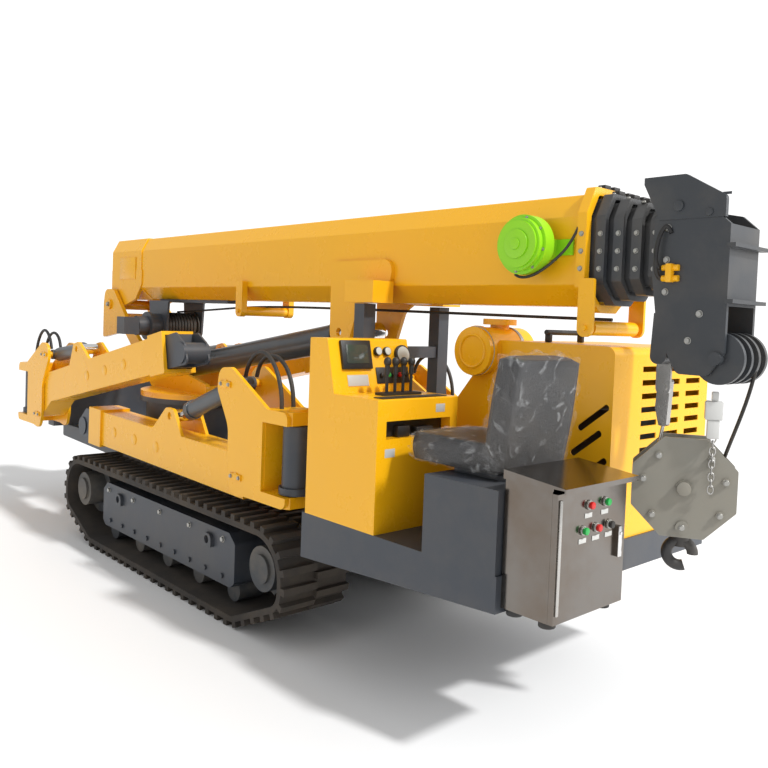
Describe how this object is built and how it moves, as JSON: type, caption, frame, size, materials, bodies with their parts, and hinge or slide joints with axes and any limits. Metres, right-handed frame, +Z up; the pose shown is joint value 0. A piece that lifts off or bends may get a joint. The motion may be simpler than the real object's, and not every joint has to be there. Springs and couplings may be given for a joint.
{
  "type": "tracked spider crane",
  "caption": "Tracked spider crane with folding swing-out legs, slewing mast, luffing telescopic boom, hook block, control console and seat.",
  "frame": {"origin": "on the ground under the middle of the machine's length and width", "axes": "+X forward towards the boom's foot, +Y left, +Z up"},
  "size_m": [5.73, 1.528, 2.176],
  "materials": {
    "yellow_paint": "gloss",
    "dark_grey_paint": "satin",
    "blue_grey_paint": "gloss",
    "green_paint": "gloss",
    "block_paint": "satin",
    "track_rubber": "dusty",
    "stainless": "polished",
    "chrome_rod": "polished",
    "drum_steel": "matt",
    "cast_block": "matt",
    "black_plastic": "matt",
    "seat_vinyl": "satin"
  },
  "bodies": {
    "base": {"chassis": "dark_grey_paint", "swing_post_front_left": "dark_grey_paint", "swing_post_front_right": "dark_grey_paint", "swing_post_rear_left": "dark_grey_paint", "swing_post_rear_right": "dark_grey_paint", "track_left": "track_rubber", "track_right": "track_rubber", "track_frame_left": "dark_grey_paint", "track_frame_right": "dark_grey_paint", "track_wheels": "dark_grey_paint", "deck": "dark_grey_paint", "console": "yellow_paint", "console_levers": "black_plastic", "seat_box": "dark_grey_paint", "seat": "seat_vinyl", "seat_rails": "dark_grey_paint", "engine_cover": "yellow_paint", "engine": "cast_block", "air_cleaner": "yellow_paint", "cabinet": "stainless", "boom_rest": "dark_grey_paint", "valve_levers": "black_plastic"},
    "door": {"cabinet_door": "stainless"},
    "superstructure": {"mast": "yellow_paint"},
    "luff_barrel": {"luff_barrel": "blue_grey_paint"},
    "luff_rod": {"luff_rod": "chrome_rod"},
    "boom_outer": {"boom_1": "yellow_paint", "boom_saddles": "yellow_paint", "winch": "dark_grey_paint", "rope_rollers": "yellow_paint", "cable_reel": "green_paint"},
    "drum": {"winch_drum": "drum_steel"},
    "boom_section_2": {"boom_2": "dark_grey_paint"},
    "boom_section_3": {"boom_3": "dark_grey_paint"},
    "boom_section_4": {"boom_4": "dark_grey_paint"},
    "boom_section_5": {"boom_5": "dark_grey_paint", "boom_head": "dark_grey_paint"},
    "hook_block": {"hook_block": "block_paint", "hook": "drum_steel", "rope_anchor": "stainless"},
    "bracket_front_left": {"bracket_front_left": "yellow_paint"},
    "arm_front_left": {"arm_front_left": "yellow_paint"},
    "inner_arm_front_left": {"inner_arm_front_left": "dark_grey_paint"},
    "lift_barrel_front_left": {"lift_barrel_front_left": "blue_grey_paint"},
    "lift_rod_front_left": {"lift_rod_front_left": "chrome_rod"},
    "bracket_front_right": {"bracket_front_right": "yellow_paint"},
    "arm_front_right": {"arm_front_right": "yellow_paint"},
    "inner_arm_front_right": {"inner_arm_front_right": "dark_grey_paint"},
    "lift_barrel_front_right": {"lift_barrel_front_right": "blue_grey_paint"},
    "lift_rod_front_right": {"lift_rod_front_right": "chrome_rod"},
    "bracket_rear_left": {"bracket_rear_left": "yellow_paint"},
    "arm_rear_left": {"arm_rear_left": "yellow_paint"},
    "inner_arm_rear_left": {"inner_arm_rear_left": "dark_grey_paint"},
    "lift_barrel_rear_left": {"lift_barrel_rear_left": "blue_grey_paint"},
    "lift_rod_rear_left": {"lift_rod_rear_left": "chrome_rod"},
    "bracket_rear_right": {"bracket_rear_right": "yellow_paint"},
    "arm_rear_right": {"arm_rear_right": "yellow_paint"},
    "inner_arm_rear_right": {"inner_arm_rear_right": "dark_grey_paint"},
    "lift_barrel_rear_right": {"lift_barrel_rear_right": "blue_grey_paint"},
    "lift_rod_rear_right": {"lift_rod_rear_right": "chrome_rod"}
  },
  "joints": [
    {"name": "swing_front_left", "type": "hinge", "parent": "base", "child": "bracket_front_left", "pos_m": [2.775, 0.585, 0.9], "axis": [0, 0, -1], "range_deg": [0, 135]},
    {"name": "lift_front_left", "type": "hinge", "parent": "bracket_front_left", "child": "arm_front_left", "pos_m": [2.395, 0.585, 0.75], "axis": [0, -1, 0], "range_deg": [0, 26.3]},
    {"name": "extend_front_left", "type": "slide", "parent": "arm_front_left", "child": "inner_arm_front_left", "axis": [-0.9806, 0, 0.1959], "range_m": [0, 1.15]},
    {"name": "lift_barrel_front_left", "type": "hinge", "parent": "bracket_front_left", "child": "lift_barrel_front_left", "pos_m": [2.27, 0.585, 1.222], "axis": [0, -1, 0], "range_deg": [-1, 29.86]},
    {"name": "lift_rod_front_left", "type": "slide", "parent": "lift_barrel_front_left", "child": "lift_rod_front_left", "axis": [-0.9919, 0, 0.1268], "range_m": [-0.005, 0.2217]},
    {"name": "swing_front_right", "type": "hinge", "parent": "base", "child": "bracket_front_right", "pos_m": [2.775, -0.585, 0.9], "axis": [0, 0, 1], "range_deg": [0, 135]},
    {"name": "lift_front_right", "type": "hinge", "parent": "bracket_front_right", "child": "arm_front_right", "pos_m": [2.395, -0.585, 0.75], "axis": [0, -1, 0], "range_deg": [0, 26.3]},
    {"name": "extend_front_right", "type": "slide", "parent": "arm_front_right", "child": "inner_arm_front_right", "axis": [-0.9806, 0, 0.1959], "range_m": [0, 1.15]},
    {"name": "lift_barrel_front_right", "type": "hinge", "parent": "bracket_front_right", "child": "lift_barrel_front_right", "pos_m": [2.27, -0.585, 1.222], "axis": [0, -1, 0], "range_deg": [-1, 29.86]},
    {"name": "lift_rod_front_right", "type": "slide", "parent": "lift_barrel_front_right", "child": "lift_rod_front_right", "axis": [-0.9919, 0, 0.1268], "range_m": [-0.005, 0.2217]},
    {"name": "swing_rear_left", "type": "hinge", "parent": "base", "child": "bracket_rear_left", "pos_m": [-0.9, 0.585, 0.9], "axis": [0, 0, 1], "range_deg": [0, 115]},
    {"name": "lift_rear_left", "type": "hinge", "parent": "bracket_rear_left", "child": "arm_rear_left", "pos_m": [-0.52, 0.585, 0.75], "axis": [0, 1, 0], "range_deg": [0, 13.5]},
    {"name": "extend_rear_left", "type": "slide", "parent": "arm_rear_left", "child": "inner_arm_rear_left", "axis": [0.9998, 0, 0.0175], "range_m": [0, 1.15]},
    {"name": "lift_barrel_rear_left", "type": "hinge", "parent": "bracket_rear_left", "child": "lift_barrel_rear_left", "pos_m": [-0.395, 0.585, 1.222], "axis": [0, 1, 0], "range_deg": [-1, 12.96]},
    {"name": "lift_rod_rear_left", "type": "slide", "parent": "lift_barrel_rear_left", "child": "lift_rod_rear_left", "axis": [0.9371, 0, -0.349], "range_m": [-0.005, 0.1143]},
    {"name": "swing_rear_right", "type": "hinge", "parent": "base", "child": "bracket_rear_right", "pos_m": [-0.9, -0.585, 0.9], "axis": [0, 0, -1], "range_deg": [0, 115]},
    {"name": "lift_rear_right", "type": "hinge", "parent": "bracket_rear_right", "child": "arm_rear_right", "pos_m": [-0.52, -0.585, 0.75], "axis": [0, 1, 0], "range_deg": [0, 13.5]},
    {"name": "extend_rear_right", "type": "slide", "parent": "arm_rear_right", "child": "inner_arm_rear_right", "axis": [0.9998, 0, 0.0175], "range_m": [0, 1.15]},
    {"name": "lift_barrel_rear_right", "type": "hinge", "parent": "bracket_rear_right", "child": "lift_barrel_rear_right", "pos_m": [-0.395, -0.585, 1.222], "axis": [0, 1, 0], "range_deg": [-1, 12.96]},
    {"name": "lift_rod_rear_right", "type": "slide", "parent": "lift_barrel_rear_right", "child": "lift_rod_rear_right", "axis": [0.9371, 0, -0.349], "range_m": [-0.005, 0.1143]},
    {"name": "slew", "type": "hinge", "parent": "base", "child": "superstructure", "pos_m": [1.05, 0, 1], "axis": [0, 0, 1], "range_deg": [-180, 180]},
    {"name": "boom_luff", "type": "hinge", "parent": "superstructure", "child": "boom_outer", "pos_m": [2.236, 0, 1.63], "axis": [0, 1, 0], "range_deg": [0, 76]},
    {"name": "luff_barrel_pivot", "type": "hinge", "parent": "superstructure", "child": "luff_barrel", "pos_m": [1.55, 0, 1.15], "axis": [0, 1, 0], "range_deg": [-1, 80.41]},
    {"name": "luff_rod_slide", "type": "slide", "parent": "luff_barrel", "child": "luff_rod", "axis": [-0.9868, 0, 0.1617], "range_m": [-0.005, 1.0345]},
    {"name": "telescope_2", "type": "slide", "parent": "boom_outer", "child": "boom_section_2", "axis": [-1, 0, 0], "range_m": [0, 3.4]},
    {"name": "telescope_3", "type": "slide", "parent": "boom_section_2", "child": "boom_section_3", "axis": [-1, 0, 0], "range_m": [0, 3.4]},
    {"name": "telescope_4", "type": "slide", "parent": "boom_section_3", "child": "boom_section_4", "axis": [-1, 0, 0], "range_m": [0, 3.4]},
    {"name": "telescope_5", "type": "slide", "parent": "boom_section_4", "child": "boom_section_5", "axis": [-1, 0, 0], "range_m": [0, 3.4]},
    {"name": "hook_level", "type": "hinge", "parent": "boom_section_5", "child": "hook_block", "pos_m": [-2.542, 0, 1.5], "axis": [0, 1, 0], "range_deg": [-80, 5]},
    {"name": "drum_spin", "type": "hinge", "parent": "boom_outer", "child": "drum", "pos_m": [1.5, 0, 1.478], "axis": [0, 1, 0], "continuous": true},
    {"name": "cabinet_door", "type": "hinge", "parent": "base", "child": "door", "pos_m": [-2.5553, 0.734, 0.8], "axis": [0, 0, -1], "range_deg": [0, 115]}
  ],
  "couplings": [
    {"joint": "lift_front_left", "follows": "swing_front_left", "ratio": 0.18741},
    {"joint": "extend_front_left", "follows": "swing_front_left", "m_per_rad": 0.46685},
    {"joint": "lift_barrel_front_left", "follows": "swing_front_left", "ratio": 0.20636},
    {"joint": "lift_rod_front_left", "follows": "swing_front_left", "m_per_rad": 0.089861},
    {"joint": "swing_front_right", "follows": "swing_front_left", "ratio": 1},
    {"joint": "lift_front_right", "follows": "swing_front_left", "ratio": 0.18741},
    {"joint": "extend_front_right", "follows": "swing_front_left", "m_per_rad": 0.46685},
    {"joint": "lift_barrel_front_right", "follows": "swing_front_left", "ratio": 0.20636},
    {"joint": "lift_rod_front_right", "follows": "swing_front_left", "m_per_rad": 0.089861},
    {"joint": "swing_rear_left", "follows": "swing_front_left", "ratio": 0.85185},
    {"joint": "lift_rear_left", "follows": "swing_front_left", "ratio": 0.092593},
    {"joint": "extend_rear_left", "follows": "swing_front_left", "m_per_rad": 0.46685},
    {"joint": "lift_barrel_rear_left", "follows": "swing_front_left", "ratio": 0.081157},
    {"joint": "lift_rod_rear_left", "follows": "swing_front_left", "m_per_rad": 0.044285},
    {"joint": "swing_rear_right", "follows": "swing_front_left", "ratio": 0.85185},
    {"joint": "lift_rear_right", "follows": "swing_front_left", "ratio": 0.092593},
    {"joint": "extend_rear_right", "follows": "swing_front_left", "m_per_rad": 0.46685},
    {"joint": "lift_barrel_rear_right", "follows": "swing_front_left", "ratio": 0.081157},
    {"joint": "lift_rod_rear_right", "follows": "swing_front_left", "m_per_rad": 0.044285},
    {"joint": "slew", "follows": "swing_front_left", "ratio": 0.66667},
    {"joint": "luff_barrel_pivot", "follows": "boom_luff", "ratio": 1.0317},
    {"joint": "luff_rod_slide", "follows": "boom_luff", "m_per_rad": 0.77238},
    {"joint": "hook_level", "follows": "boom_luff", "ratio": -1},
    {"joint": "telescope_3", "follows": "telescope_2", "ratio": 1},
    {"joint": "telescope_4", "follows": "telescope_2", "ratio": 1},
    {"joint": "telescope_5", "follows": "telescope_2", "ratio": 1}
  ]
}
